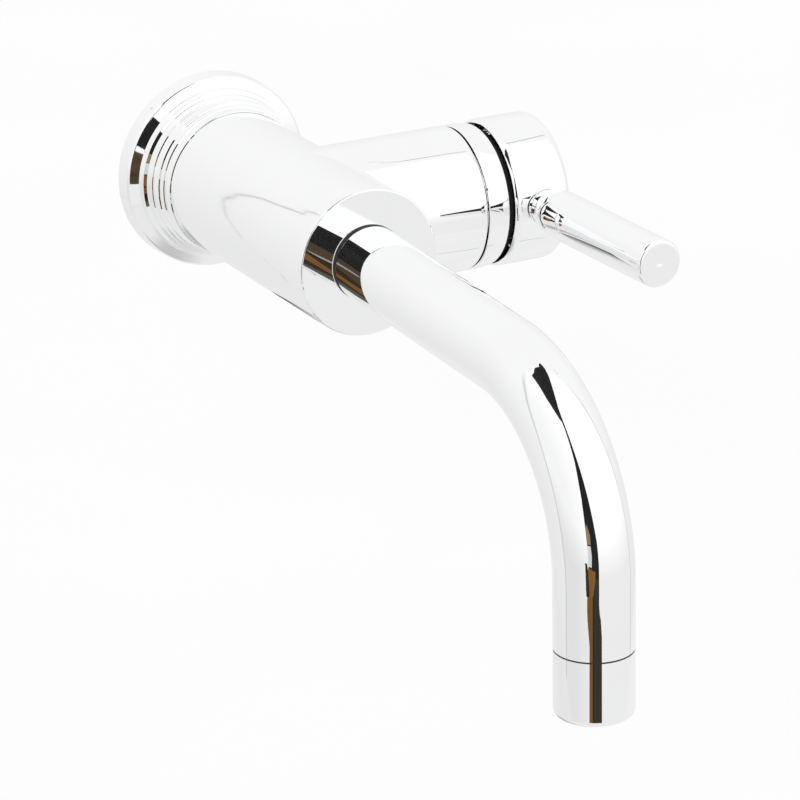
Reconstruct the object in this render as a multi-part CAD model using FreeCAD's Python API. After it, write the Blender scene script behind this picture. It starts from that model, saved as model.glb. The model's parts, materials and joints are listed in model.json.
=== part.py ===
"""Wall-mounted single-lever basin mixer, made as its separate pieces.

Millimetres. The wall is the plane Y = 0 and the mixer stands out from it along -Y.
+Z is up. The valve branch and its handle point along +X. The origin is the centre of
the wall flange, on the wall. The barrel, the wall flange and the spout share the Y axis.
"""
import FreeCAD, Part
import math
import os

V = FreeCAD.Vector
OUT = V(0, -1, 0)      # away from the wall
SIDE = V(1, 0, 0)      # along the valve branch
UP = V(0, 0, 1)
DOWN = V(0, 0, -1)
WALL = V(0, 0, 0)

# Barrel, seen from the wall outwards
BARREL_R = 23.5
BARREL_BACK = 5.2
BARREL_FACE = 113.0
FACE_EDGE_R = 0.7

# Wall flange: rim, then five steps up to the barrel. Corners as (distance from wall, radius, edge radius)
FLANGE_R = 32.2
FLANGE_CORNERS = ((0.0, 32.2, 0.0), (6.0, 31.95, 1.4), (7.6, 28.2, 0.4), (9.9, 28.1, 0.25), (10.43, 26.7, 0.4),
                  (13.0, 26.5, 0.25), (13.23, 25.9, 0.3), (16.0, 25.65, 0.25), (16.27, 24.95, 0.3),
                  (17.8, 24.75, 0.2), (17.97, 24.3, 0.1))
FLANGE_END = 20.8      # the last cove runs out along the barrel to here
FLANGE_LIP = 0.15
FLANGE_BORE_R = 23.55
FLANGE_RIM_WALL = 2.4
FLANGE_RIM_DEPTH = 5.4

# Wall fixing
GASKET_T = 1.0
PLATE_R = 28.0
PLATE_T = 4.0
HUB_R = 25.0
HUB_END = 10.0
SCREW_SPACING = 34.0
SCREW_HOLE_R = 2.6
SCREW_HEAD_R = 4.8
HOSE_HOLE_R = 7.5
BODY_SCREW_AT = 7.8
BODY_SCREW_R = 2.0
BODY_GROOVE_R = 22.5
BODY_GROOVE_W = 4.4
FLANGE_SEAL_AT = 13.0
FLANGE_SEAL_SECTION = 0.6
FLANGE_SEAL_W = 2.0

# Water inlets in the back of the barrel, one above the other
INLET_SPACING = 18.0
INLET_THREAD_R = 4.5
INLET_THREAD_LENGTH = 12.0
WATERWAY_R = 4.0
BREAK_THROUGH = 1.0    # how far a drill runs past the surface

# Valve branch and cartridge, as distances from the barrel's axis along +X
BRANCH_OUT = 70.0      # wall to branch axis
BRANCH_R = 23.5
GROOVE_X = 52.9
GROOVE_W = 0.4
GROOVE_EDGE = 0.25
BRANCH_ROLL_X = 2.5    # the branch's polished end falls away over this length
BRANCH_ROLL_R = 0.35   # by this much
NECK_R = 21.5
NECK_END = 57.6
BONNET_CROWN = 0.5     # fall of the bonnet's curved side
BONNET_END = 61.3
BONNET_EDGE_R = 1.2
CHAMBER_FLOOR = 24.0
CHAMBER_R = 17.6
NUT_BORE_R = 19.6
NUT_START = 50.0
NUT_END = 55.5
NUT_HOLE_R = 11.6
NUT_SLOT_AT = 15.5
NUT_SLOT_W = 5.0
CARTRIDGE_R = 17.4
BASE_END = 29.0
DISC_T = 3.4
FIXED_DISC_R = 13.0
MOVING_DISC_R = 11.2
MOVING_DISC_T = 3.2
MIXING_R = 6.2
MIXING_DEPTH = 1.6
CARRIER_R = 11.5
KEY_START = 39.7       # the carrier's key slides in the rotor's window
KEY_T = 2.6
KEY_HALF_Y = 6.0
KEY_HALF_Z = 7.9
BALL_SLOT_HALF = 3.3
BALL_SLOT_START = 0.8
HOUSING_BORE_R = 14.8
HOUSING_END = 50.0
ROTOR_START = 40.2
ROTOR_SHOULDER = 47.9
ROTOR_R = 14.5
TURRET_R = 11.0
TURRET_END = 57.0
WINDOW_HALF_Y = 9.0
WINDOW_HALF_Z = 8.1
WINDOW_ROOM = 0.7
ARM_SLOT_HALF = 6.0
STEM_SLOT_HALF = 7.2
PIVOT_X = 46.0
PIVOT_PIN_R = 1.5
PIVOT_PIN_HALF = 12.0
BALL_ARM = 7.2         # pivot to ball centre
BALL_ARM_R = 1.8
BALL_R = 2.6
STEM_Y = 7.0
STEM_Z = 8.0
STEM_START = 43.6
STEM_END = 77.0
FIT = 0.05             # radial clearance of a running fit
LOOSE = 0.1            # clearance round parts that needn't be guided

# Ports of the cartridge: height above and below the branch axis, and offset along Y
SUPPLY_PORT_Z = 8.0
SUPPLY_PORT_BACK = 3.5
OUTLET_PORT_FRONT = 8.0
PORT_R = 3.2
PORT_SEAL_R = 4.4
PORT_SEAL_T = 1.5

# Shroud: short tube, then part of a sphere about the pivot, so the tilting cap clears it
SHROUD_R = 27.4
SHROUD_T = 1.3
SHROUD_MOUTH_R = 19.6

# Handle
CAP_START = 62.8
CAP_END = 83.2
CAP_R = 23.8
CAP_WALL = 3.0
CAP_LIP_R = 22.8       # inside of the thin rim
CAP_LIP_T = 0.2
CAP_ROLL_X = 2.2       # length of the rim's rounded edge
CAP_THIN = 5.7         # the wall is full beyond this length
CAP_END_EDGE_R = 3.5
BOSS_R = 8.0
BOSS_START = 63.5
LEVER_LUG_R = 6.0
SCREW_LUG_R = 3.6
LUG_START = 5.0        # inside the boss, from the branch axis
LUG_OVERLAP = 0.5      # runs this far into the wall
SET_SCREW_END = 15.0
PLUG_START = 20.5
PLUG_RECESS = 0.3
LEVER_X = 73.0
LEVER_LEAN = 2.0       # degrees, away from the barrel
LEVER_R = 7.75
LEVER_FOOT_R = 6.25
LEVER_FOOT = 25.7      # from the branch axis
LEVER_FOOT_EDGE = 0.2
LEVER_SHOULDER = 33.5
LEVER_END = 89.2
LEVER_END_EDGE_R = 1.4
COLLAR_R = 5.8
COLLAR_SEAT = 23.0
COLLAR_GROOVE_R = 5.1
COLLAR_GROOVE_W = 0.5
STUD_R = 3.0
STUD_START = 11.0
STUD_HOLE_START = 10.0
STUD_HOLE_DEPTH = 14.0 # in the lever
STUD_HOLE_SPARE = 1.0
SCREW_R = 2.5

# Spout
SPOUT_R = 12.0
SPOUT_BORE_R = 10.2
SPOUT_FALL = 2.0       # degrees below level
SPOUT_RUN = 86.0       # barrel face to the bend
SPOUT_BEND_R = 53.0
SPOUT_DROP = 20.6      # bend to the aerator seam
ROOT_GAP = 0.9
ROOT_GASKET_R = 12.05
ROOT_EDGE_R = 0.4
SOCKET_R = 10.5
SOCKET_DEPTH = 15.0
SPIGOT_R = 10.4
SPIGOT_BORE_R = 7.5
SPIGOT_DEPTH = 14.0
SPIGOT_PLUG = 11.0     # length inside the tube
SPIGOT_SHOULDER = 0.5
SPOUT_SEALS_AT = (13.0, 10.0)
SPOUT_SEAL_W = 2.0
SPOUT_SEAL_SECTION = 0.64
SPOUT_SEAL_GROOVE = 1.2
SPOUT_SCREW_BACK = 4.5 # behind the barrel's face
SPOUT_SCREW_SEAT = 0.9
SPOUT_SCREW_TIP = 0.6  # above the seat
SEAT_FROM = 7.3
SEAT_TO = 1.7
GASKET_BORE_R = 10.6
GASKET_EDGE = 0.1

# Outlet
AERATOR_LENGTH = 20.6
AERATOR_EDGE_R = 2.0
SEAM_W = 0.5
SEAM_SEAL_R = 11.75
NIPPLE_R = 10.85
NIPPLE_LENGTH = 8.0
NIPPLE_SHANK = 10.0    # length inside the tube
NIPPLE_WALL = 1.8
WASHER_T = 1.6
MOUTH_LIP = 1.3
INSERT_WALL = 1.8
INSERT_FLOOR_T = 2.8
MOUTH_R = 9.3
JET_R = 0.8
JET_PITCH = 3.4

DISC_END = BASE_END + DISC_T
BRANCH = V(0, -BRANCH_OUT, 0)
PIVOT = V(PIVOT_X, -BRANCH_OUT, 0)
FACE = V(0, -BARREL_FACE, 0)
FALL = math.radians(SPOUT_FALL)
SPOUT_DIR = V(0, -math.cos(FALL), -math.sin(FALL))
BEND_SIDE = V(0, math.sin(FALL), -math.cos(FALL))
LEAN = math.radians(LEVER_LEAN)
LEVER_BASE = V(LEVER_X, -BRANCH_OUT, 0)
LEVER_DIR = V(math.sin(LEAN), -math.cos(LEAN), 0)

os.makedirs("parts", exist_ok=True)


def save(node, shape):
    """Write one piece, or a group of equal pieces, to its own file."""
    shape.exportStep("parts/" + node + ".step")


def rod(radius, start, end):
    """A cylinder between two points."""
    return Part.makeCylinder(radius, (end - start).Length, start, end - start)


def bore(solid, radius, start, end):
    """The solid with a round hole drilled through it."""
    return solid.cut(rod(radius, start, end))


def block(low, high):
    """A box between two opposite corners."""
    size = high - low
    return Part.makeBox(size.x, size.y, size.z, low)


def turned(outline, centre, axis):
    """Turn a closed outline about an axis.

    Each entry is (distance along the axis, radius). An entry made of two such pairs is
    an arc through the first pair to the second.
    """
    across = SIDE if abs(axis.x) < 0.5 else UP

    def place(pair):
        return centre + axis * pair[0] + across * pair[1]

    edges = []
    here = outline[0]
    for entry in list(outline[1:]) + [outline[0]]:
        if isinstance(entry[0], tuple):
            middle, end = entry
            edges.append(Part.Arc(place(here), place(middle), place(end)).toShape())
        else:
            end = entry
            edges.append(Part.makeLine(place(here), place(end)))
        here = end
    return Part.Face(Part.Wire(edges)).revolve(centre, axis, 360)


def ring(inner, outer, start, end, centre, axis):
    """A plain tube section between two distances along an axis."""
    return turned([(start, inner), (start, outer), (end, outer), (end, inner)], centre, axis)


def o_ring(groove_r, section_r, at, centre, axis):
    """A round rubber ring resting on the bottom of its groove."""
    return Part.makeTorus(groove_r + section_r, section_r, centre + axis * at, axis)


def round_edge(distance, radius, edge_r):
    """Arc entry that rounds the outer edge at the far end of a turned piece."""
    diagonal = edge_r * math.sqrt(0.5)
    middle = (distance - edge_r + diagonal, radius - edge_r + diagonal)
    return (middle, (distance, radius - edge_r))


def cove(start, end):
    """Arc entry for a hollow quarter curve from one edge to a smaller, higher one."""
    rise = end[0] - start[0]
    inset = start[1] - end[1]
    hollow = 1 - math.sqrt(0.5)
    middle = (start[0] + rise * hollow, end[1] + inset * hollow)
    return (middle, end)


def crown(start, end):
    """Arc entry for a shallow curve that leaves its higher end level and falls towards the other."""
    length = end[0] - start[0]
    fall = abs(end[1] - start[1])
    curve_r = (length ** 2 + fall ** 2) / (2 * fall)
    top = max(start[1], end[1])
    middle_fall = curve_r - math.sqrt(curve_r ** 2 - (length / 2) ** 2)
    return ((start[0] + length / 2, top - middle_fall), end)


def softened(corners):
    """Outline through (distance, radius, edge radius) corners, each turned into an arc of its edge radius."""
    outline = []
    for i, (distance, radius, edge_r) in enumerate(corners):
        if edge_r == 0 or i in (0, len(corners) - 1):
            outline.append((distance, radius))
            continue
        here = V(distance, radius, 0)
        back = (V(corners[i - 1][0], corners[i - 1][1], 0) - here).normalize()
        ahead = (V(corners[i + 1][0], corners[i + 1][1], 0) - here).normalize()
        half = back.getAngle(ahead) / 2
        start = here + back * (edge_r / math.tan(half))
        end = here + ahead * (edge_r / math.tan(half))
        centre = here + (back + ahead).normalize() * (edge_r / math.sin(half))
        middle = centre + (here - centre).normalize() * edge_r
        outline += [(start.x, start.y), ((middle.x, middle.y), (end.x, end.y))]
    return outline


def sphere_r(x, radius):
    """Radius of the pivot-centred sphere where it crosses the plane at distance x."""
    return math.sqrt(radius ** 2 - (x - PIVOT_X) ** 2)


def sphere_x(ring_r, radius):
    """Distance at which the pivot-centred sphere has a given ring radius."""
    return PIVOT_X + math.sqrt(radius ** 2 - ring_r ** 2)


def grub_screw(radius, start, end):
    """A headless screw with a hexagon socket in its outer end."""
    axis = (end - start).normalize()
    socket = Part.makePolygon([V(radius * 0.5 * math.cos(math.radians(60 * i)),
                                 radius * 0.5 * math.sin(math.radians(60 * i)), 0) for i in range(7)])
    tool = Part.Face(socket).extrude(V(0, 0, radius * 1.2))
    tool.Placement = FreeCAD.Placement(end - axis * radius, FreeCAD.Rotation(UP, axis))
    return rod(radius, start, end).cut(tool)


def make_wall_fixing():
    """Rubber gasket and fixing plate behind the flange, and the screw that locks the barrel."""
    back = GASKET_T + PLATE_T
    gasket = rod(PLATE_R - 1, WALL, OUT * GASKET_T)
    plate = rod(PLATE_R, OUT * GASKET_T, OUT * back)
    plate = plate.fuse(ring(BARREL_R + FIT, HUB_R, back, HUB_END, WALL, OUT))
    for side in (-1, 1):
        hose = V(0, 0, side * INLET_SPACING / 2)
        screw = V(side * SCREW_SPACING / 2, 0, 0)
        gasket = bore(gasket, HOSE_HOLE_R, hose, hose + OUT * GASKET_T)
        gasket = bore(gasket, SCREW_HOLE_R, screw, screw + OUT * GASKET_T)
        plate = bore(plate, HOSE_HOLE_R, hose, hose + OUT * back)
        plate = bore(plate, SCREW_HOLE_R, screw, screw + OUT * back)
        head = SCREW_HEAD_R - SCREW_HOLE_R
        sink = Part.makeCone(SCREW_HOLE_R, SCREW_HEAD_R, head, screw + OUT * (back - head), OUT)
        plate = plate.cut(sink)
    low = OUT * BODY_SCREW_AT
    seat = low + DOWN * BODY_GROOVE_R
    plate = bore(plate, BODY_SCREW_R, seat, low + DOWN * (HUB_R + BREAK_THROUGH))
    save("wall_gasket", gasket)
    save("wall_plate", plate)
    save("body_set_screw", grub_screw(BODY_SCREW_R, seat, low + DOWN * HUB_R))


def make_wall_flange():
    """Thin cover over the wall fixing, with a plain rim and rounded steps up to the barrel."""
    last = FLANGE_CORNERS[-1][:2]
    lip = (FLANGE_END, FLANGE_BORE_R + FLANGE_LIP)
    outline = softened(FLANGE_CORNERS) + [cove(last, lip)]
    hub_room = HUB_R + 0.3
    plate_room = PLATE_R + 0.3
    rim_room = FLANGE_R - FLANGE_RIM_WALL
    outline += [(FLANGE_END, FLANGE_BORE_R), (HUB_END + 1, FLANGE_BORE_R), (HUB_END + 1, hub_room),
                (HUB_END - 1.4, hub_room), (FLANGE_RIM_DEPTH, plate_room), (FLANGE_RIM_DEPTH, rim_room),
                (0, rim_room)]
    save("wall_flange", turned(outline, WALL, OUT))


def make_valve_body():
    """Barrel and valve branch in one casting, with its waterways and cartridge chamber."""
    barrel = turned([(BARREL_BACK, 0), (BARREL_BACK, BARREL_R), (BARREL_FACE - FACE_EDGE_R, BARREL_R),
                     round_edge(BARREL_FACE, BARREL_R, FACE_EDGE_R), (BARREL_FACE, 0)], WALL, OUT)
    roll_start = (GROOVE_X - BRANCH_ROLL_X, BRANCH_R)
    roll_end = (GROOVE_X - GROOVE_EDGE, BRANCH_R - BRANCH_ROLL_R)
    branch = turned([(0, 0), (0, BRANCH_R), roll_start, crown(roll_start, roll_end),
                     (GROOVE_X, roll_end[1] - GROOVE_EDGE), (GROOVE_X, 0)], BRANCH, SIDE)
    body = barrel.fuse(branch)
    body = body.fuse(rod(NECK_R, BRANCH + SIDE * GROOVE_X, BRANCH + SIDE * NECK_END))
    seal_r = BARREL_R - 2 * FLANGE_SEAL_SECTION
    for groove_r, at, width in ((BODY_GROOVE_R, BODY_SCREW_AT, BODY_GROOVE_W),
                                (seal_r, FLANGE_SEAL_AT, FLANGE_SEAL_W)):
        body = body.cut(ring(groove_r, BARREL_R + BREAK_THROUGH, at - width / 2, at + width / 2, WALL, OUT))
    body = bore(body, CHAMBER_R, BRANCH + SIDE * CHAMBER_FLOOR, BRANCH + SIDE * NECK_END)
    body = bore(body, NUT_BORE_R, BRANCH + SIDE * NUT_START, BRANCH + SIDE * NECK_END)
    supply_y = -BRANCH_OUT + SUPPLY_PORT_BACK
    for side in (-1, 1):
        inlet = V(0, -BARREL_BACK, side * INLET_SPACING / 2)
        thread_end = inlet + OUT * INLET_THREAD_LENGTH
        body = bore(body, INLET_THREAD_R, inlet, thread_end)
        body = bore(body, WATERWAY_R, thread_end, V(0, supply_y, inlet.z))
        port = V(0, supply_y, side * SUPPLY_PORT_Z)
        body = bore(body, PORT_R, port, port + SIDE * CHAMBER_FLOOR)
    outlet = V(0, -BRANCH_OUT - OUTLET_PORT_FRONT, 0)
    body = bore(body, PORT_R, outlet, outlet + SIDE * CHAMBER_FLOOR)
    body = bore(body, SPIGOT_BORE_R, outlet - OUT * (PORT_R + BREAK_THROUGH), FACE)
    body = bore(body, SOCKET_R, FACE - SPOUT_DIR * SOCKET_DEPTH, FACE + SPOUT_DIR * BREAK_THROUGH)
    screw = FACE - OUT * SPOUT_SCREW_BACK
    body = bore(body, SCREW_R, screw, screw + DOWN * (BARREL_R + BREAK_THROUGH))
    save("valve_body", body)
    save("flange_seal", o_ring(seal_r, FLANGE_SEAL_SECTION, FLANGE_SEAL_AT, WALL, OUT))


def spout_solid(radius, drop):
    """Solid bent rod along the spout's axis: a straight run, a bend and a drop."""
    bend_start = FACE + SPOUT_DIR * SPOUT_RUN
    centre = bend_start + BEND_SIDE * SPOUT_BEND_R
    section = Part.Face(Part.Wire(Part.makeCircle(radius, bend_start, SPOUT_DIR)))
    bend = section.revolve(centre, SIDE, 90 - SPOUT_FALL)
    bend_end = centre + OUT * SPOUT_BEND_R
    return rod(radius, FACE, bend_start).fuse(bend).fuse(rod(radius, bend_end, bend_end + DOWN * drop))


def make_spout():
    """Bent tube with the black ring at its root."""
    tube_end = SPOUT_DROP - SEAM_W / 2
    tube = spout_solid(SPOUT_R, tube_end).cut(spout_solid(SPOUT_BORE_R, tube_end))
    root = BARREL_FACE + ROOT_GAP
    reach = SPOUT_R * 2
    tube = tube.cut(block(V(-reach, -root, -reach), V(reach, 0, reach)))
    outer_edges = [edge for edge in tube.Edges
                   if abs(edge.CenterOfMass.y + root) < SPOUT_R / 100 and edge.BoundBox.ZMax > SPOUT_BORE_R]
    longest = max(edge.Length for edge in outer_edges)
    outer_edges = [edge for edge in outer_edges if edge.Length > longest - 1]
    save("spout_tube", tube.makeFillet(ROOT_EDGE_R, outer_edges))
    edge_r = ROOT_GASKET_R - GASKET_EDGE
    save("spout_gasket", turned([(BARREL_FACE, GASKET_BORE_R), (BARREL_FACE, edge_r),
                                 (BARREL_FACE + GASKET_EDGE, ROOT_GASKET_R),
                                 (root - GASKET_EDGE, ROOT_GASKET_R), (root, edge_r), (root, GASKET_BORE_R)],
                                WALL, OUT))


def make_spigot():
    """Plug-in end of the spout with its seals and clamping screw, inside the barrel."""
    groove_r = SPIGOT_R - SPOUT_SEAL_GROOVE
    cut_r = SPIGOT_R + BREAK_THROUGH
    spigot = ring(SPIGOT_BORE_R, SPIGOT_R, -SPIGOT_DEPTH, -SPIGOT_SHOULDER, FACE, SPOUT_DIR)
    spigot = spigot.fuse(ring(SPIGOT_BORE_R, SPOUT_BORE_R, -SPIGOT_SHOULDER, SPIGOT_PLUG, FACE, SPOUT_DIR))
    rings = []
    for depth in SPOUT_SEALS_AT:
        spigot = spigot.cut(ring(groove_r, cut_r, -depth, SPOUT_SEAL_W - depth, FACE, SPOUT_DIR))
        rings.append(o_ring(groove_r, SPOUT_SEAL_SECTION, SPOUT_SEAL_W / 2 - depth, FACE, SPOUT_DIR))
    seat_r = SPIGOT_R - SPOUT_SCREW_SEAT
    save("spout_spigot", spigot.cut(ring(seat_r, cut_r, -SEAT_FROM, -SEAT_TO, FACE, SPOUT_DIR)))
    save("spout_o_rings", Part.makeCompound(rings))
    screw = FACE - OUT * SPOUT_SCREW_BACK
    screw_head = screw + DOWN * (BARREL_R - 1)
    save("spout_set_screw", grub_screw(SCREW_R, screw + DOWN * (seat_r + SPOUT_SCREW_TIP), screw_head))


def make_outlet():
    """Threaded nipple in the spout's end, and the aerator that screws onto it."""
    centre = FACE + SPOUT_DIR * SPOUT_RUN + BEND_SIDE * SPOUT_BEND_R + OUT * SPOUT_BEND_R
    seam_start = SPOUT_DROP - SEAM_W / 2
    seam_end = SPOUT_DROP + SEAM_W / 2
    shank = SPOUT_DROP - NIPPLE_SHANK
    nipple_end = SPOUT_DROP + NIPPLE_LENGTH
    nipple_bore = SPOUT_BORE_R - NIPPLE_WALL
    save("outlet_nipple", turned([(shank, nipple_bore), (shank, SPOUT_BORE_R), (seam_start, SPOUT_BORE_R),
                                  (seam_start, NIPPLE_R), (nipple_end, NIPPLE_R), (nipple_end, nipple_bore)],
                                 centre, DOWN))
    tip = SPOUT_DROP + AERATOR_LENGTH
    seat = nipple_end + WASHER_T
    lip = tip - MOUTH_LIP
    thread_r = NIPPLE_R + FIT
    housing = turned([(seam_end, thread_r), (seam_end, SPOUT_R), (tip - AERATOR_EDGE_R, SPOUT_R),
                      round_edge(tip, SPOUT_R, AERATOR_EDGE_R), (tip, MOUTH_R), (lip, MOUTH_R),
                      (lip, SPOUT_BORE_R), (seat, SPOUT_BORE_R), (seat, thread_r)], centre, DOWN)
    save("aerator_housing", housing)
    washer = ring(nipple_bore, NIPPLE_R, nipple_end, seat, centre, DOWN)
    seam_seal = ring(NIPPLE_R, SEAM_SEAL_R, seam_start, seam_end, centre, DOWN)
    save("aerator_washer", Part.makeCompound([washer, seam_seal]))
    cup_r = SPOUT_BORE_R - FIT
    cup_bore = cup_r - INSERT_WALL
    floor = lip - INSERT_FLOOR_T
    insert = turned([(seat, cup_bore), (seat, cup_r), (lip, cup_r), (lip, 0), (floor, 0), (floor, cup_bore)],
                    centre, DOWN)
    jets = [V(0, 0, 0)]
    for row, count in ((1, 6), (2, 12)):
        for i in range(count):
            angle = 2 * math.pi * i / count
            jets.append(V(math.cos(angle), math.sin(angle), 0) * (row * JET_PITCH))
    for jet in jets:
        insert = bore(insert, JET_R, centre + jet + DOWN * floor, centre + jet + DOWN * lip)
    save("aerator_insert", insert)


def make_bonnet():
    """Trim ring on the branch, the dark shroud inside the gap, and the cartridge nut."""
    start = GROOVE_X + GROOVE_W
    side_start = (start + GROOVE_EDGE, BRANCH_R)
    side_end = (BONNET_END - BONNET_EDGE_R, BRANCH_R - BONNET_CROWN)
    bore_r = NECK_R + FIT
    bonnet = turned([(start, bore_r), (start, BRANCH_R - GROOVE_EDGE), side_start, crown(side_start, side_end),
                     round_edge(BONNET_END, side_end[1], BONNET_EDGE_R), (BONNET_END, bore_r)], BRANCH, SIDE)
    save("bonnet_ring", bonnet)
    inner_r = SHROUD_R - SHROUD_T
    tube_inner_r = NECK_R - SHROUD_T
    mouth = sphere_x(SHROUD_MOUTH_R, SHROUD_R)
    inner_mouth = sphere_x(SHROUD_MOUTH_R - 1, inner_r)
    tube_end = sphere_x(NECK_R, SHROUD_R)
    inner_tube_end = sphere_x(tube_inner_r, inner_r)
    middle = (tube_end + mouth) / 2
    inner_middle = (inner_tube_end + inner_mouth) / 2
    shroud = turned([(NECK_END, tube_inner_r), (NECK_END, NECK_R), (tube_end, NECK_R),
                     ((middle, sphere_r(middle, SHROUD_R)), (mouth, SHROUD_MOUTH_R)),
                     (inner_mouth, SHROUD_MOUTH_R - 1),
                     ((inner_middle, sphere_r(inner_middle, inner_r)), (inner_tube_end, tube_inner_r))],
                    BRANCH, SIDE)
    save("gap_shroud", shroud)
    nut = ring(NUT_HOLE_R, NUT_BORE_R - FIT, NUT_START, NUT_END, BRANCH, SIDE)
    half_slot = V(NUT_SLOT_W, NUT_SLOT_W, NUT_SLOT_W) / 2
    for side in (-1, 1):
        slot = BRANCH + V(NUT_END, 0, side * NUT_SLOT_AT)
        nut = nut.cut(block(slot - half_slot, slot + half_slot))
    save("cartridge_nut", nut)


def ports():
    """Axes of the two supply ports and the outlet port on the branch's end plane."""
    supply = [BRANCH + V(0, SUPPLY_PORT_BACK, side * SUPPLY_PORT_Z) for side in (-1, 1)]
    return supply + [BRANCH + V(0, -OUTLET_PORT_FRONT, 0)]


def make_cartridge():
    """Fixed half of the ceramic cartridge: base, seals, lower disc and housing."""
    base = rod(CARTRIDGE_R, BRANCH + SIDE * CHAMBER_FLOOR, BRANCH + SIDE * BASE_END)
    fixed = rod(FIXED_DISC_R, BRANCH + SIDE * BASE_END, BRANCH + SIDE * DISC_END)
    seal_end = CHAMBER_FLOOR + PORT_SEAL_T
    seals = []
    for port in ports():
        base = bore(base, PORT_R, port, port + SIDE * DISC_END)
        base = bore(base, PORT_SEAL_R, port, port + SIDE * seal_end)
        fixed = bore(fixed, PORT_R, port, port + SIDE * DISC_END)
        seals.append(ring(PORT_R, PORT_SEAL_R, CHAMBER_FLOOR, seal_end, port, SIDE))
    save("cartridge_base", base)
    save("cartridge_seals", Part.makeCompound(seals))
    save("fixed_disc", fixed)
    top = ROTOR_SHOULDER + LOOSE
    neck_r = TURRET_R + LOOSE
    housing = turned([(BASE_END, HOUSING_BORE_R), (BASE_END, CARTRIDGE_R), (HOUSING_END, CARTRIDGE_R),
                      (HOUSING_END, neck_r), (top, neck_r), (top, HOUSING_BORE_R)], BRANCH, SIDE)
    save("cartridge_housing", housing)


def make_moving_disc():
    """Upper disc with its mixing recess, and the carrier that the stem's ball end pushes."""
    disc_start = DISC_END + FIT
    disc_end = disc_start + MOVING_DISC_T
    disc = rod(MOVING_DISC_R, BRANCH + SIDE * disc_start, BRANCH + SIDE * disc_end)
    recess_end = disc_start + MIXING_DEPTH
    save("moving_disc", bore(disc, MIXING_R, BRANCH + SIDE * disc_start, BRANCH + SIDE * recess_end))
    key_end = KEY_START + KEY_T
    ball_x = PIVOT_X - BALL_ARM
    carrier = rod(CARRIER_R, BRANCH + SIDE * disc_end, BRANCH + SIDE * KEY_START)
    carrier = carrier.fuse(block(BRANCH + V(KEY_START, -KEY_HALF_Y, -KEY_HALF_Z),
                                 BRANCH + V(key_end, KEY_HALF_Y, KEY_HALF_Z)))
    carrier = bore(carrier, BALL_R + FIT, BRANCH + SIDE * (ball_x - BALL_R - LOOSE),
                   BRANCH + SIDE * (key_end + BREAK_THROUGH))
    carrier = carrier.cut(block(BRANCH + V(ball_x + BALL_SLOT_START, -BALL_SLOT_HALF, -BALL_R),
                                BRANCH + V(key_end, BALL_SLOT_HALF, BALL_R)))
    save("disc_carrier", carrier)


def make_rotor():
    """Turning part of the cartridge, with the window for the carrier's key, and the pivot pin."""
    rotor = rod(ROTOR_R, BRANCH + SIDE * ROTOR_START, BRANCH + SIDE * ROTOR_SHOULDER)
    rotor = rotor.fuse(rod(TURRET_R, BRANCH + SIDE * ROTOR_SHOULDER, BRANCH + SIDE * TURRET_END))
    half_z = STEM_Z / 2 + LOOSE
    window_end = KEY_START + KEY_T + WINDOW_ROOM
    for start, end, half_y, half_height in ((ROTOR_START, window_end, WINDOW_HALF_Y, WINDOW_HALF_Z),
                                            (ROTOR_START, PIVOT_X, ARM_SLOT_HALF, half_z),
                                            (PIVOT_X - 1, TURRET_END, STEM_SLOT_HALF, half_z)):
        rotor = rotor.cut(block(BRANCH + V(start, -half_y, -half_height), BRANCH + V(end, half_y, half_height)))
    pin = rod(PIVOT_PIN_R, PIVOT + DOWN * PIVOT_PIN_HALF, PIVOT + UP * PIVOT_PIN_HALF)
    save("cartridge_rotor", rotor.cut(pin))
    save("pivot_pin", pin)


def make_stem():
    """Spindle that tilts on the pivot pin; its ball end pushes the moving disc."""
    ball = PIVOT - SIDE * BALL_ARM
    stem = block(BRANCH + V(STEM_START, -STEM_Y / 2, -STEM_Z / 2), BRANCH + V(STEM_END, STEM_Y / 2, STEM_Z / 2))
    stem = stem.fuse(rod(BALL_ARM_R, ball, BRANCH + SIDE * (STEM_START + 1)))
    stem = stem.fuse(Part.makeSphere(BALL_R, ball))
    save("stem", bore(stem, PIVOT_PIN_R + FIT, PIVOT + DOWN * STEM_Z, PIVOT + UP * STEM_Z))


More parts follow.
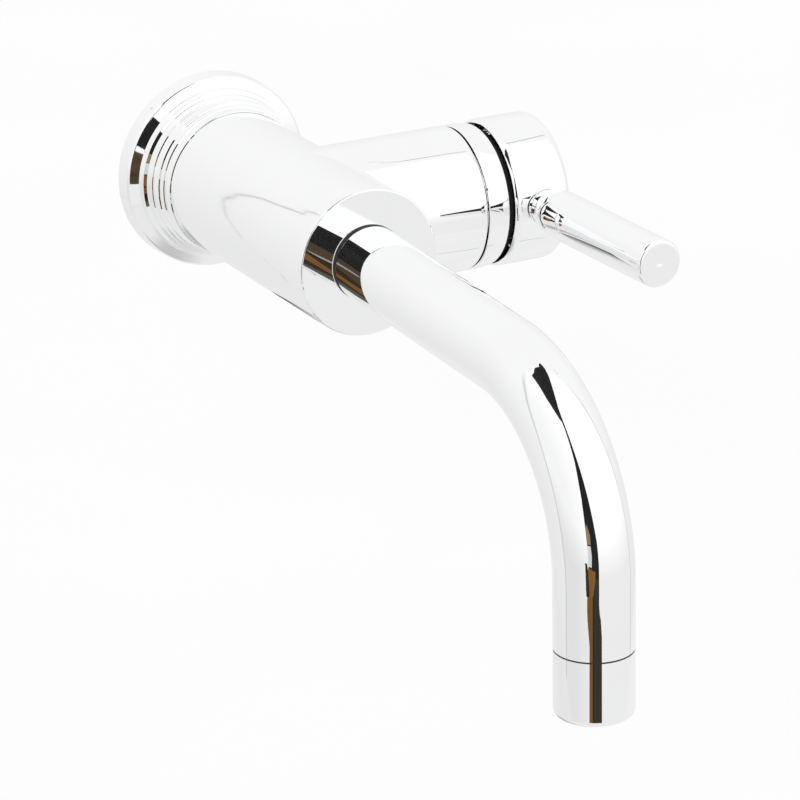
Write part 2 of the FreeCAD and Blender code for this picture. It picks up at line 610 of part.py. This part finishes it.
def make_handle_cap():
    """Cast cap with a centre boss for the spindle and lugs for the lever and its screw."""
    inner_r = CAP_R - CAP_WALL
    lip = (CAP_START, CAP_LIP_R + CAP_LIP_T)
    cap = turned([(CAP_START, CAP_LIP_R), lip, crown(lip, (CAP_START + CAP_ROLL_X, CAP_R)),
                  (CAP_END - CAP_END_EDGE_R, CAP_R), round_edge(CAP_END, CAP_R, CAP_END_EDGE_R), (CAP_END, 0),
                  (CAP_END - CAP_WALL, 0), (CAP_END - CAP_WALL, inner_r), (CAP_START + CAP_THIN, inner_r)],
                 BRANCH, SIDE)
    cap = cap.fuse(rod(BOSS_R, BRANCH + SIDE * BOSS_START, BRANCH + SIDE * (CAP_END - 1)))
    lug_end = inner_r + LUG_OVERLAP
    drill_end = CAP_R + BREAK_THROUGH
    cap = cap.fuse(rod(LEVER_LUG_R, LEVER_BASE + LEVER_DIR * LUG_START, LEVER_BASE + LEVER_DIR * lug_end))
    cap = cap.fuse(rod(SCREW_LUG_R, LEVER_BASE - OUT * LUG_START, LEVER_BASE - OUT * lug_end))
    room = V(FIT, FIT, FIT)
    cap = cap.cut(block(BRANCH + V(BOSS_START, -STEM_Y / 2, -STEM_Z / 2) - room,
                        BRANCH + V(STEM_END, STEM_Y / 2, STEM_Z / 2) + room))
    cap = bore(cap, STUD_R, LEVER_BASE + LEVER_DIR * STUD_HOLE_START, LEVER_BASE + LEVER_DIR * drill_end)
    cap = bore(cap, COLLAR_R + FIT, LEVER_BASE + LEVER_DIR * COLLAR_SEAT, LEVER_BASE + LEVER_DIR * drill_end)
    cap = bore(cap, SCREW_R, LEVER_BASE, LEVER_BASE - OUT * drill_end)
    save("handle_cap", cap)
    screw_start = LEVER_BASE - OUT * (STEM_Y / 2 + FIT)
    save("handle_set_screw", grub_screw(SCREW_R, screw_start, LEVER_BASE - OUT * SET_SCREW_END))
    save("screw_plug", rod(SCREW_R, LEVER_BASE - OUT * PLUG_START, LEVER_BASE - OUT * (CAP_R - PLUG_RECESS)))


def make_lever():
    """Round lever with a narrowed foot, its stud and the spacer between it and the cap."""
    narrowing = LEVER_R - LEVER_FOOT_R
    length = LEVER_SHOULDER - LEVER_FOOT
    sweep_r = (length ** 2 + narrowing ** 2) / (2 * narrowing)
    half = length / 2
    middle_r = LEVER_R - sweep_r + math.sqrt(sweep_r ** 2 - half ** 2)
    lever = turned([(LEVER_FOOT, 0), (LEVER_FOOT, LEVER_FOOT_R - LEVER_FOOT_EDGE),
                    (LEVER_FOOT + LEVER_FOOT_EDGE, LEVER_FOOT_R),
                    ((LEVER_FOOT + half, middle_r), (LEVER_SHOULDER, LEVER_R)),
                    (LEVER_END - LEVER_END_EDGE_R, LEVER_R), round_edge(LEVER_END, LEVER_R, LEVER_END_EDGE_R),
                    (LEVER_END, 0)], LEVER_BASE, LEVER_DIR)
    stud_end = LEVER_FOOT + STUD_HOLE_DEPTH
    lever = bore(lever, STUD_R, LEVER_BASE + LEVER_DIR * LEVER_FOOT, LEVER_BASE + LEVER_DIR * stud_end)
    save("lever", lever)
    stud_tip = stud_end - STUD_HOLE_SPARE
    save("lever_stud", rod(STUD_R, LEVER_BASE + LEVER_DIR * STUD_START, LEVER_BASE + LEVER_DIR * stud_tip))
    collar = ring(STUD_R + FIT, COLLAR_R, COLLAR_SEAT, LEVER_FOOT - COLLAR_GROOVE_W, LEVER_BASE, LEVER_DIR)
    groove = ring(STUD_R + FIT, COLLAR_GROOVE_R, COLLAR_SEAT, LEVER_FOOT, LEVER_BASE, LEVER_DIR)
    save("lever_collar", collar.fuse(groove).removeSplitter())


make_wall_fixing()
make_wall_flange()
make_valve_body()
make_spout()
make_spigot()
make_outlet()
make_bonnet()
make_cartridge()
make_moving_disc()
make_rotor()
make_stem()
make_handle_cap()
make_lever()
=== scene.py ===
"""Studio scene of a wall-mounted basin mixer in polished chrome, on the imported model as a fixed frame."""
import bmesh
import bpy
import json
import math
from mathutils import Matrix, Vector

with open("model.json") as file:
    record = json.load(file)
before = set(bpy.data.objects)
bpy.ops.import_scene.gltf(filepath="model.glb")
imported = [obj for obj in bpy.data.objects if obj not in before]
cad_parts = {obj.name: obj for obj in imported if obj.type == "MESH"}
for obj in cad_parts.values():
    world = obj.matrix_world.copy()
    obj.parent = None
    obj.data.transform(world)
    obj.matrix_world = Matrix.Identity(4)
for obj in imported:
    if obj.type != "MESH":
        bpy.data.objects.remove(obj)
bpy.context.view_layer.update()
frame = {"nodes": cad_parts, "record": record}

# Camera, from a least-squares fit of the model's outlines to the photograph
CAMERA_YAW = math.radians(-27.64)
CAMERA_PITCH = math.radians(-20.50)
CAMERA_ROLL = math.radians(-0.93)
CAMERA_DISTANCE = 1.5477
LENS_MM = 213.5
SENSOR_MM = 36.0
FRAME_PIXELS = 800
ORIGIN_PIXEL = (208.28, 166.25)
CENTRE_PIXEL = (400.0, 400.0)

# Studio, in metres: a tent with panels, a gap between them and a table, about one centre
STUDIO_CENTRE = Vector((0.03, -0.13, -0.02))
STUDIO_WHITE = 1.0
FLOOR_LEVEL = -0.6
FLOOR_SIZE = 12.0

# Cards in the gap, by distance: the nearer cards cover the farther ones
GAP_RADIUS = 0.4
NEAR_RADIUS = 0.368
NEARER_RADIUS = 0.364
NEAREST_RADIUS = 0.36
FAR_RADIUS = 1.35
STREAK_RADIUS = 1.323
BLACK = (0.008, 0.008, 0.008), (0.03, 0.03, 0.03)
CARD_CLOUD = 9.0               # cycles per metre

# Tent: shades run between two values over a stretch, in parts of its radius
TENT_RADIUS = 1.6
TENT_TURN = (0.2, 1.0, 0.0)    # across the line where the front panels end
PANEL_EDGE = 0.10              # behind the tent's middle
PANEL_BLUR = 0.03
BACK_RISE = (-0.5, 0.5)
BACK_SHADES = (0.82, 0.965)
FRONT_RISE = (-0.25, 0.05)
FRONT_SHADES = (0.86, 1.06)
LEFT_STRETCH = (-0.95, -0.5)
LEFT_SHADES = (0.89, 1.0)
LINE_HALF = 0.045
LINE_DEPTH = 0.30
LINE_FADE = (0.6, 0.85)

# Table under the mixer
TABLE_R = 0.35
TABLE_DROP = 0.21
TABLE_STEP = 5                 # degrees
TABLE_STRETCH = (-0.8, 0.6)    # in parts of its radius, left to right
TABLE_SHADES = (0.82, 0.90)
TABLE_CLOUD = (0.94, 1.03)
SHADOW_PLACE = (-0.07, 0.02, 0.0)
SHADOW_REACH = (0.03, 0.12)
SHADOW_DEPTH = 0.6

# Shade behind the lever
SHADE_PLACE = (0.0155, -0.045, 0.0)   # upright, below the corner of barrel and branch
SHADE_HALF = 0.0195
SHADE_TOP = -0.033
SHADE_END = -0.062
SHADE_RANGE = (0.85, 0.10)     # from its lower end to its top
SHADE_CLOUD = (0.75, 1.15)

# Seams of the tent; their widths are in parts of their distance
SEAM_RADIUS = 1.5
SEAM_HALF = 0.011
SEAM_THIN = 0.0007
LOW_SEAM_RADIUS = 0.24
LOW_SEAM_THIN = 0.0026
SEAM_STEPS = 6
SEAM_GREYS = (0.46, 0.46, 0.46), (0.56, 0.56, 0.56)
SEAM_CLOUD = 4.0               # cycles per metre


def node(tree, kind, inputs=None, **settings):
    """A shader node with its settings and unlinked input values."""
    made = tree.nodes.new(kind)
    for key, value in settings.items():
        setattr(made, key, value)
    for key, value in (inputs or {}).items():
        made.inputs[key].default_value = value
    return made


def new_material(name):
    """An empty node material: returns it with its tree and its Principled shader."""
    material = bpy.data.materials.new(name)
    material.use_nodes = True
    tree = material.node_tree
    tree.nodes.clear()
    shader = node(tree, "ShaderNodeBsdfPrincipled")
    output = node(tree, "ShaderNodeOutputMaterial")
    tree.links.new(shader.outputs["BSDF"], output.inputs["Surface"])
    return material, tree, shader


def object_place(tree):
    """Object-space position, as a vector's socket."""
    return node(tree, "ShaderNodeTexCoord").outputs["Object"]


def noise(tree, scale, detail=3.0):
    """Object-space noise; scale is in cycles per metre."""
    texture = node(tree, "ShaderNodeTexNoise", {"Scale": scale, "Detail": detail})
    tree.links.new(object_place(tree), texture.inputs["Vector"])
    return texture.outputs["Fac"]


def span(tree, value, low, high):
    """Spread a 0 to 1 value between two numbers."""
    made = node(tree, "ShaderNodeMapRange", {"To Min": low, "To Max": high})
    tree.links.new(value, made.inputs["Value"])
    return made.outputs["Result"]


def tint(tree, value, dark, light):
    """Spread a 0 to 1 value between two colours."""
    mix = node(tree, "ShaderNodeMix", data_type="RGBA")
    mix.inputs["A"].default_value = (*dark, 1)
    mix.inputs["B"].default_value = (*light, 1)
    tree.links.new(value, mix.inputs["Factor"])
    return mix.outputs["Result"]


def bump(tree, shader, value, height, strength=1.0):
    """Small relief from a 0 to 1 value; height is in metres."""
    relief = node(tree, "ShaderNodeBump", {"Strength": strength, "Distance": height})
    tree.links.new(value, relief.inputs["Height"])
    tree.links.new(relief.outputs["Normal"], shader.inputs["Normal"])


def polished_chrome():
    """Mirror chrome: faint cloudiness in the plating and a barely uneven polish."""
    material, tree, shader = new_material("polished_chrome")
    shader.inputs["Metallic"].default_value = 1.0
    colour = tint(tree, noise(tree, 60.0), (0.955, 0.957, 0.965), (0.975, 0.977, 0.98))
    tree.links.new(colour, shader.inputs["Base Color"])
    tree.links.new(span(tree, noise(tree, 400.0), 0.015, 0.035), shader.inputs["Roughness"])
    bump(tree, shader, noise(tree, 25.0, 1.0), 0.00002, 0.25)
    return material


def machined_metal(name, dark, light, rough):
    """Turned metal with fine tool marks."""
    material, tree, shader = new_material(name)
    shader.inputs["Metallic"].default_value = 1.0
    tree.links.new(tint(tree, noise(tree, 120.0), dark, light), shader.inputs["Base Color"])
    tree.links.new(span(tree, noise(tree, 900.0), rough - 0.06, rough + 0.06), shader.inputs["Roughness"])
    bump(tree, shader, noise(tree, 2500.0, 1.0), 0.00003, 0.3)
    return material


def moulded(name, dark, light, rough, grain, relief=0.4, shine=0.5):
    """Plastic, rubber or ceramic with a fine surface grain; grain is in cycles per metre."""
    material, tree, shader = new_material(name)
    shader.inputs["Specular IOR Level"].default_value = shine
    tree.links.new(tint(tree, noise(tree, 80.0), dark, light), shader.inputs["Base Color"])
    tree.links.new(span(tree, noise(tree, 500.0), rough - 0.05, rough + 0.05), shader.inputs["Roughness"])
    bump(tree, shader, noise(tree, grain, 2.0), 0.00004, relief)
    return material


def dress(materials):
    """Give every CAD node the material of its slot."""
    slots = {entry["node"]: entry["material_slot"] for entry in frame["record"]["subparts"]}
    for name, obj in frame["nodes"].items():
        material = materials[slots[name]]
        if not obj.material_slots:
            obj.data.materials.append(material)
        for slot in obj.material_slots:
            slot.material = material


def make_camera():
    """Camera at the photograph's viewing angle, placed so that the origin falls on ORIGIN_PIXEL."""
    level = Vector((math.cos(CAMERA_YAW), math.sin(CAMERA_YAW), 0))
    look = Vector((-math.sin(CAMERA_YAW) * math.cos(CAMERA_PITCH),
                   math.cos(CAMERA_YAW) * math.cos(CAMERA_PITCH), math.sin(CAMERA_PITCH)))
    above = level.cross(look)
    right = level * math.cos(CAMERA_ROLL) + above * math.sin(CAMERA_ROLL)
    up = above * math.cos(CAMERA_ROLL) - level * math.sin(CAMERA_ROLL)
    pixel = CAMERA_DISTANCE * SENSOR_MM / (LENS_MM * FRAME_PIXELS)   # a pixel's width at the origin
    across = (ORIGIN_PIXEL[0] - CENTRE_PIXEL[0]) * pixel
    down = (ORIGIN_PIXEL[1] - CENTRE_PIXEL[1]) * pixel
    place = -(look * CAMERA_DISTANCE + right * across - up * down)
    data = bpy.data.cameras.new("camera")
    data.lens = LENS_MM
    data.sensor_width = SENSOR_MM
    data.clip_end = 50.0
    camera = bpy.data.objects.new("camera", data)
    turn = Matrix((right, up, -look)).transposed()
    camera.matrix_world = Matrix.Translation(place) @ turn.to_4x4()
    bpy.context.scene.collection.objects.link(camera)
    bpy.context.scene.camera = camera


def direction(azimuth, elevation):
    """Unit vector; azimuth 0 is in front of the mixer (-Y), 90 is its right (+X). Degrees."""
    side = math.radians(azimuth)
    rise = math.radians(elevation)
    return Vector((math.sin(side) * math.cos(rise), -math.cos(side) * math.cos(rise), math.sin(rise)))


def add_mesh(name, vertices, faces, place):
    """A mesh object at its place in the scene."""
    mesh = bpy.data.meshes.new(name)
    mesh.from_pydata(vertices, [], faces)
    made = bpy.data.objects.new(name, mesh)
    made.location = place
    bpy.context.scene.collection.objects.link(made)
    return made


def add_sheet(name, corners, place):
    """A flat sheet with one face."""
    return add_mesh(name, corners, [tuple(range(len(corners)))], place)


def reflection_only(card, paint):
    """Show a card to mirror rays alone, as light of its own colour; paint links that colour's socket."""
    material, tree, shader = new_material(card.name + "_paint")
    shader.inputs["Base Color"].default_value = (0, 0, 0, 1)
    shader.inputs["Specular IOR Level"].default_value = 0.0
    shader.inputs["Emission Strength"].default_value = 1.0
    paint(tree, shader.inputs["Emission Color"])
    card.data.materials.append(material)
    card.visible_camera = False
    card.visible_diffuse = False
    card.visible_shadow = False
    card.visible_transmission = False


def cloudy_paint(scale, dark, light):
    """Paint for reflection_only: cloudy, between two colours; scale is in cycles per metre."""
    def paint(tree, socket):
        tree.links.new(tint(tree, noise(tree, scale), dark, light), socket)
    return paint


def make_card(name, outline, dark, light, distance=GAP_RADIUS):
    """A cloudy card on a sphere about the studio; the outline is in degrees, as (azimuth, elevation)."""
    card = add_sheet(name, [direction(*corner) * distance for corner in outline], STUDIO_CENTRE)
    reflection_only(card, cloudy_paint(CARD_CLOUD, dark, light))


def spread(tree, value, start, end, low, high, kind="LINEAR"):
    """Spread a value that runs from start to end between two other numbers."""
    limits = {"From Min": start, "From Max": end, "To Min": low, "To Max": high}
    made = node(tree, "ShaderNodeMapRange", limits, interpolation_type=kind)
    tree.links.new(value, made.inputs["Value"])
    return made.outputs["Result"]


def axis_parts(tree, place):
    """Sockets for a position's X, Y and Z, by those names."""
    parts = node(tree, "ShaderNodeSeparateXYZ")
    tree.links.new(place, parts.inputs["Vector"])
    return parts.outputs


def product(tree, one, two):
    """Two values multiplied."""
    times = node(tree, "ShaderNodeMath", operation="MULTIPLY")
    tree.links.new(one, times.inputs[0])
    tree.links.new(two, times.inputs[1])
    return times.outputs["Value"]


def table_paint(tree, socket):
    """Cloudy pale paper, lighter to the right, with the mixer's own soft shadow."""
    place = object_place(tree)
    left, right = (part * TABLE_R for part in TABLE_STRETCH)
    light = spread(tree, axis_parts(tree, place)["X"], left, right, *TABLE_SHADES)
    gap = node(tree, "ShaderNodeVectorMath", operation="DISTANCE")
    gap.inputs[1].default_value = SHADOW_PLACE
    tree.links.new(place, gap.inputs[0])
    shadow = spread(tree, gap.outputs["Value"], *SHADOW_REACH, SHADOW_DEPTH, 1.0, "SMOOTHSTEP")
    cloud = span(tree, noise(tree, 14.0), *TABLE_CLOUD)
    tree.links.new(product(tree, product(tree, light, shadow), cloud), socket)


def make_table():
    """Sheet under the mixer, seen only in the chrome."""
    turns = [math.radians(angle) for angle in range(0, 360, TABLE_STEP)]
    rim = [(math.cos(turn) * TABLE_R, math.sin(turn) * TABLE_R, 0) for turn in turns]
    table = add_sheet("table", rim, STUDIO_CENTRE - Vector((0, 0, TABLE_DROP)))
    reflection_only(table, table_paint)


def shade_paint(tree, socket):
    """Grey, from pale at its lower end to dark at its top, and faintly cloudy."""
    height = axis_parts(tree, object_place(tree))["Z"]
    fade = spread(tree, height, SHADE_END, SHADE_TOP, *SHADE_RANGE, "SMOOTHSTEP")
    cloud = span(tree, noise(tree, 220.0), *SHADE_CLOUD)
    tree.links.new(product(tree, fade, cloud), socket)


def make_shade():
    """Shade of the mixer behind the lever, seen only in the chrome."""
    corners = [(-SHADE_HALF, 0, SHADE_END), (SHADE_HALF, 0, SHADE_END), (SHADE_HALF, 0, SHADE_TOP),
               (-SHADE_HALF, 0, SHADE_TOP)]
    shade = add_sheet("shade", corners, SHADE_PLACE)
    reflection_only(shade, shade_paint)


def tent_spread(tree, value, stretch, shades, kind="LINEAR"):
    """Spread a value over a stretch of the tent, given in parts of its radius."""
    start, end = (part * TENT_RADIUS for part in stretch)
    return spread(tree, value, start, end, *shades, kind)


def edge_line(tree, behind, height):
    """A soft dark line where the panels end, as a factor; it fades out high up."""
    offset = node(tree, "ShaderNodeMath", {1: PANEL_EDGE * TENT_RADIUS}, operation="SUBTRACT")
    tree.links.new(behind, offset.inputs[0])
    far = node(tree, "ShaderNodeMath", operation="ABSOLUTE")
    tree.links.new(offset.outputs["Value"], far.inputs[0])
    dip = tent_spread(tree, far.outputs["Value"], (0, LINE_HALF), (LINE_DEPTH, 0.0), "SMOOTHSTEP")
    low = tent_spread(tree, height, LINE_FADE, (1.0, 0.0))
    line = node(tree, "ShaderNodeMath", {0: 1.0}, operation="SUBTRACT")
    tree.links.new(product(tree, dip, low), line.inputs[1])
    return line.outputs["Value"]


def tent_paint(tree, socket):
    """White panels in front, a greyer tent behind them, and a soft dark line where they meet."""
    place = object_place(tree)
    parts = axis_parts(tree, place)
    back = tent_spread(tree, parts["Z"], BACK_RISE, BACK_SHADES)
    front = product(tree, tent_spread(tree, parts["Z"], FRONT_RISE, FRONT_SHADES),
                    tent_spread(tree, parts["X"], LEFT_STRETCH, LEFT_SHADES))
    turn = node(tree, "ShaderNodeVectorMath", operation="DOT_PRODUCT")
    turn.inputs[1].default_value = TENT_TURN
    tree.links.new(place, turn.inputs[0])
    behind = turn.outputs["Value"]
    choice = node(tree, "ShaderNodeMix", data_type="FLOAT")
    blur = PANEL_EDGE - PANEL_BLUR, PANEL_EDGE + PANEL_BLUR
    tree.links.new(tent_spread(tree, behind, blur, (0, 1)), choice.inputs["Factor"])
    tree.links.new(front, choice.inputs["A"])
    tree.links.new(back, choice.inputs["B"])
    line = edge_line(tree, behind, parts["Z"])
    tree.links.new(product(tree, choice.outputs["Result"], line), socket)


def make_tent():
    """Light tent round the mixer, seen only in the chrome."""
    mesh = bpy.data.meshes.new("tent")
    shell = bmesh.new()
    bmesh.ops.create_uvsphere(shell, u_segments=48, v_segments=24, radius=TENT_RADIUS)
    shell.to_mesh(mesh)
    shell.free()
    tent = bpy.data.objects.new("tent", mesh)
    tent.location = STUDIO_CENTRE
    bpy.context.scene.collection.objects.link(tent)
    reflection_only(tent, tent_paint)


def smooth(path):
    """More corners along a smooth curve through the given ones, in degrees."""
    corners = [Vector(corner) for corner in path]
    ends = corners[:1] + corners + corners[-1:]
    curve = []
    for before, start, end, after in zip(ends, ends[1:], ends[2:], ends[3:]):
        linear = end - before
        square = before * 2 - start * 5 + end * 4 - after
        cubic = start * 3 - end * 3 + after - before
        for step in range(SEAM_STEPS):
            t = step / SEAM_STEPS
            curve.append((start * 2 + linear * t + square * t ** 2 + cubic * t ** 3) / 2)
    return curve + corners[-1:]


def make_seam(name, path, axis, distance=SEAM_RADIUS, thin=SEAM_THIN):
    """Thin grey ribbon along a seam of the tent, for a cylinder of the mixer with this axis.

    The cylinder shrinks what it mirrors across its axis, so the ribbon is wide that way and thin along it.
    """
    curve = [direction(*corner) for corner in smooth(path)]
    nibs = [axis.cross(point) * SEAM_HALF + axis * thin for point in curve]
    vertices = [(point + nib * side) * distance for side in (-1, 1) for point, nib in zip(curve, nibs)]
    count = len(curve)
    faces = [(i, i + 1, count + i + 1, count + i) for i in range(count - 1)]
    seam = add_mesh(name, vertices, faces, STUDIO_CENTRE)
    reflection_only(seam, cloudy_paint(SEAM_CLOUD, *SEAM_GREYS))


def make_opening():
    """The gap between the tent's panels, and the dark room and wood beyond it.

    The outlines lie in the directions in which the chrome mirrors the photograph's dark patches.
    """
    make_card("gap", [(-34, 51), (-30.5, 45), (-29.5, 38), (-29, 30), (-31, 20), (-31.5, 10), (-31.5, 4),
                      (-33, -10), (-36, -14), (-37, -22), (-33, -23), (-33, -28), (-10.5, -28), (-10.5, -22),
                      (-15.5, -20.5), (-15.2, -14), (-14.2, -8), (-14.2, 0), (-15.5, 5), (-17.8, 15),
                      (-20.3, 25), (-22.9, 33), (-24.5, 38), (-26.4, 45), (-28, 51)], *BLACK)
    make_card("gap_top", [(-82, 61), (-70, 60), (-55, 55), (-42, 51), (-34, 48.5), (-28, 50), (-28, 57),
                          (-24, 63), (-19, 68), (-8, 74), (12, 79), (40, 83), (60, 87), (-20, 88), (-50, 84),
                          (-70, 80), (-78, 75), (-78, 68)], (0.010, 0.010, 0.010), (0.035, 0.035, 0.035))
    make_card("gap_low", [(-33, -28), (-32.5, -35), (-30, -44), (-12, -44), (-11, -35), (-10.5, -28)],
              (0.04, 0.04, 0.03), (0.14, 0.14, 0.11))
    make_card("gap_far", [(-22.5, 34), (-28, 32), (-33, 26), (-37, 18), (-38, 10), (-38.5, 3), (-23, 3),
                          (-22.5, 20)], *BLACK, FAR_RADIUS)
    make_card("wood_far", [(-38.5, 3), (-38, -8), (-35, -17), (-23, -17), (-23, 3)],
              (0.018, 0.012, 0.008), (0.13, 0.09, 0.055), FAR_RADIUS)
    make_card("light_streak", [(-30.8, -11.4), (-32.4, -8.9), (-33.6, -6.9), (-35.6, -3.2), (-35.6, -4.5),
                               (-33.6, -8.2), (-32.4, -10.2), (-30.8, -12.7)],
              (0.30, 0.30, 0.29), (0.50, 0.49, 0.47), STREAK_RADIUS)
    make_card("dark_wood", [(-37.5, -9.5), (-34, -9.5), (-33, -15), (-32, -19), (-37.5, -20)],
              (0.008, 0.007, 0.006), (0.07, 0.045, 0.022), NEAREST_RADIUS)
    make_card("dark_panel", [(-25, -13), (-15.5, -14), (-16, -20.5), (-12.5, -21), (-10.7, -22),
                             (-10.7, -28), (-25, -28)],
              (0.03, 0.028, 0.02), (0.05, 0.047, 0.035), NEAR_RADIUS)
    make_card("wood", [(-33, -10.5), (-21, -11), (-22, -15), (-26.5, -19), (-26.5, -28), (-32, -28),
                       (-32, -23), (-36.5, -21.5), (-35.5, -14)],
              (0.10, 0.045, 0.012), (0.30, 0.15, 0.05), NEARER_RADIUS)
    make_card("tan_patch", [(-32, -2.5), (-31.5, 3), (-29, 5), (-25, 1.5), (-25.5, -2)],
              (0.16, 0.10, 0.05), (0.42, 0.30, 0.18), NEAR_RADIUS)
    make_card("pale_patch", [(-32.5, -10), (-32, -3), (-26, -2.5), (-25.5, -6), (-27, -10)],
              (0.50, 0.49, 0.47), (0.85, 0.85, 0.84), NEAR_RADIUS)


def make_seams():
    """Seams that show as thin lines: the first on the barrel, the others on the branch and its cap.

    Their corners lie in the directions in which the chrome mirrors the photograph's thin lines.
    """
    barrel = Vector((0, 1, 0))
    branch = Vector((1, 0, 0))
    make_seam("back_seam", [(-161.2, 28.03), (-156.8, 24.29), (-155.2, 22.16), (-154.1, 20.4), (-153.3, 18.7),
                            (-152.3, 16.6), (-150.94, 13.19), (-149.44, 7.75), (-148.85, 1.15),
                            (-149.11, -3.84), (-149.94, -8.29), (-150.97, -11.78), (-152.3, -14.9),
                            (-154, -18), (-155.6, -20.6), (-157.3, -22.6), (-159.65, -25.04),
                            (-163.7, -27.88)], barrel)
    make_seam("top_seam", [(122.4, 60.45), (113.5, 62.6), (107, 63.4), (105.2, 63.35), (103.7, 63.15),
                           (102.6, 62.95), (101, 62.75), (97.5, 62.6), (98, 61.9), (99, 61.45),
                           (100, 61.15), (102, 60.7), (105, 60)], branch)
    make_seam("low_seam", [(70.4, -58.1), (74, -57.85), (78, -57.1), (78.7, -56.3), (81.1, -55.4),
                           (81.7, -52.6), (82.4, -51.7), (84.3, -50.9)],
              branch, LOW_SEAM_RADIUS, LOW_SEAM_THIN)


def make_floor():
    """Plain white floor, so far below the mixer that hardly any shadow falls on it."""
    half = FLOOR_SIZE / 2
    corners = [(-half, -half, 0), (half, -half, 0), (half, half, 0), (-half, half, 0)]
    floor = add_sheet("floor", corners, (0, 0, FLOOR_LEVEL))
    material, tree, shader = new_material("floor_paint")
    shader.inputs["Roughness"].default_value = 1.0
    shader.inputs["Specular IOR Level"].default_value = 0.0
    tree.links.new(tint(tree, noise(tree, 3.0), (0.97, 0.97, 0.97), (1, 1, 1)), shader.inputs["Base Color"])
    floor.data.materials.append(material)
    floor.visible_glossy = False


def make_world():
    """Even white surroundings."""
    world = bpy.data.worlds.new("studio")
    world.use_nodes = True
    background = world.node_tree.nodes["Background"]
    background.inputs["Color"].default_value = (1, 1, 1, 1)
    background.inputs["Strength"].default_value = STUDIO_WHITE
    bpy.context.scene.world = world


MATERIALS = {
    "polished_chrome": polished_chrome(),
    "plain_steel": machined_metal("plain_steel", (0.50, 0.50, 0.51), (0.60, 0.60, 0.61), 0.30),
    "bare_brass": machined_metal("bare_brass", (0.68, 0.50, 0.23), (0.78, 0.60, 0.31), 0.28),
    "black_rubber": moulded("black_rubber", (0.012, 0.012, 0.012), (0.025, 0.025, 0.025), 0.60, 1500.0),
    "black_plastic": moulded("black_plastic", (0.010, 0.010, 0.011), (0.016, 0.016, 0.017), 0.60, 600.0,
                             relief=0.05, shine=0.2),
    "grey_plastic": moulded("grey_plastic", (0.45, 0.46, 0.48), (0.54, 0.55, 0.57), 0.40, 900.0),
    "white_plastic": moulded("white_plastic", (0.78, 0.78, 0.76), (0.86, 0.86, 0.84), 0.42, 900.0),
    "disc_ceramic": moulded("disc_ceramic", (0.85, 0.84, 0.80), (0.91, 0.90, 0.87), 0.18, 600.0),
}

dress(MATERIALS)
make_camera()
make_world()
make_floor()
make_tent()
make_opening()
make_seams()
make_table()
make_shade()

bpy.context.scene.view_settings.view_transform = "Standard"
